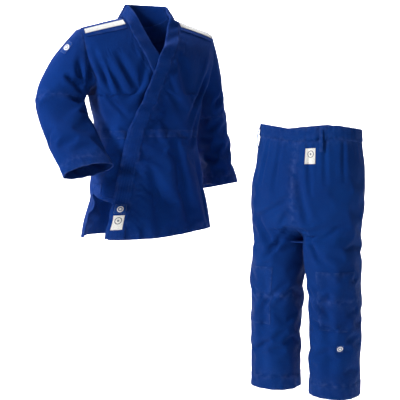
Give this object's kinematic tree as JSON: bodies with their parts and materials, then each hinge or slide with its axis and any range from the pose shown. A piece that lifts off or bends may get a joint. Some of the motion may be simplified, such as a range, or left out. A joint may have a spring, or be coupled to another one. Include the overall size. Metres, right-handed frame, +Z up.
{
  "type": "martial arts uniform",
  "caption": "Judo style uniform: heavy woven wrap-over jacket and drawstring trousers, filled out as if worn, side by side",
  "frame": {"origin": "middle of the neck opening, level with the top of the jacket collar", "axes": "+Z up, +Y away from the viewer of the display, +X to the wearer's left; the jacket is turned 27 degrees and the trousers -32 degrees about +Z"},
  "size_m": [1.1078, 0.6102, 1.3414],
  "materials": {
    "jacket_fabric": "heavy blue woven cotton",
    "trouser_fabric": "blue cotton drill",
    "shoulder_tape": "white woven tape",
    "woven_label": "off-white woven label",
    "label_ground": "satin-woven blue label",
    "drawcord": "flat braided cord"
  },
  "bodies": {
    "torso": {"collar_band": "jacket_fabric", "right_lapel_upper": "jacket_fabric", "left_lapel_upper": "jacket_fabric", "right_lapel_lower": "jacket_fabric", "right_chest_panel": "jacket_fabric", "left_chest_panel": "jacket_fabric", "right_waist_seam": "jacket_fabric", "left_waist_seam_side": "jacket_fabric", "back_waist_seam": "jacket_fabric", "right_skirt": "jacket_fabric", "left_skirt_side": "jacket_fabric", "back_panel": "jacket_fabric", "back_skirt": "jacket_fabric", "right_shoulder_yoke": "jacket_fabric", "left_shoulder_yoke": "jacket_fabric", "right_shoulder_tape": "shoulder_tape", "left_shoulder_tape": "shoulder_tape", "right_vent_patch": "jacket_fabric", "left_vent_patch": "jacket_fabric"},
    "front_wrap": {"left_chest_wrap": "jacket_fabric", "left_waist_seam_wrap": "jacket_fabric", "left_skirt_wrap": "jacket_fabric", "left_lapel_lower": "jacket_fabric", "lapel_patch": "label_ground", "lapel_label": "woven_label"},
    "tail": {"back_tail": "jacket_fabric"},
    "right_arm": {"right_upper_sleeve": "jacket_fabric", "sleeve_badge": "woven_label"},
    "right_forearm": {"right_lower_sleeve": "jacket_fabric", "right_cuff_hem": "jacket_fabric"},
    "left_arm": {"left_upper_sleeve": "jacket_fabric"},
    "left_forearm": {"left_lower_sleeve": "jacket_fabric", "left_cuff_hem": "jacket_fabric"},
    "trousers": {"waistband": "trouser_fabric", "waist_drawcord": "drawcord", "right_hip_panel": "trouser_fabric", "left_hip_panel": "trouser_fabric", "crotch_gusset": "trouser_fabric", "right_belt_loop": "trouser_fabric", "left_belt_loop": "trouser_fabric", "waist_label": "woven_label"},
    "right_leg": {"right_thigh": "trouser_fabric", "right_knee_patch": "trouser_fabric"},
    "right_lower_leg": {"right_shin": "trouser_fabric", "right_trouser_hem": "trouser_fabric"},
    "left_leg": {"left_thigh": "trouser_fabric", "left_knee_patch": "trouser_fabric"},
    "left_lower_leg": {"left_shin": "trouser_fabric", "left_trouser_hem": "trouser_fabric", "shin_badge": "woven_label"}
  },
  "joints": [
    {"name": "right_sleeve_lift", "type": "hinge", "parent": "torso", "child": "right_arm", "pos_m": [-0.22453, -0.11441, -0.101], "axis": [-0.454, 0.891, 0], "range_deg": [0, 60]},
    {"name": "right_elbow_bend", "type": "hinge", "parent": "right_arm", "child": "right_forearm", "pos_m": [-0.25343, -0.19647, -0.321], "axis": [-0.891, -0.454, 0], "range_deg": [0, 55]},
    {"name": "left_sleeve_lift", "type": "hinge", "parent": "torso", "child": "left_arm", "pos_m": [0.22453, 0.11441, -0.101], "axis": [0.454, -0.891, 0], "range_deg": [0, 60]},
    {"name": "left_elbow_bend", "type": "hinge", "parent": "left_arm", "child": "left_forearm", "pos_m": [0.24979, 0.08687, -0.394], "axis": [-0.991, -0.1342, 0], "range_deg": [0, 60]},
    {"name": "front_wrap_open", "type": "hinge", "parent": "torso", "child": "front_wrap", "pos_m": [0.10872, -0.09443, -0.188], "axis": [-0.1352, -0.0654, 0.9887], "range_deg": [0, 70]},
    {"name": "back_tail_swing", "type": "hinge", "parent": "torso", "child": "tail", "pos_m": [-0.06038, 0.1185, -0.66525], "axis": [0.891, 0.454, 0], "range_deg": [0, 40]},
    {"name": "trousers_slide", "type": "slide", "parent": "torso", "child": "trousers", "axis": [1, 0, 0], "range_m": [0, 0.2]},
    {"name": "right_hip_swing", "type": "hinge", "parent": "trousers", "child": "right_leg", "pos_m": [0.42381, -0.18171, -0.8335], "axis": [-0.848, 0.5299, 0], "range_deg": [0, 60]},
    {"name": "right_knee_bend", "type": "hinge", "parent": "right_leg", "child": "right_lower_leg", "pos_m": [0.51379, -0.01507, -1.01275], "axis": [0.848, -0.5299, 0], "range_deg": [0, 90]},
    {"name": "left_hip_swing", "type": "hinge", "parent": "trousers", "child": "left_leg", "pos_m": [0.58833, -0.28451, -0.8335], "axis": [-0.848, 0.5299, 0], "range_deg": [0, 60]},
    {"name": "left_knee_bend", "type": "hinge", "parent": "left_leg", "child": "left_lower_leg", "pos_m": [0.69866, -0.13059, -1.01275], "axis": [0.848, -0.5299, 0], "range_deg": [0, 90]}
  ]
}
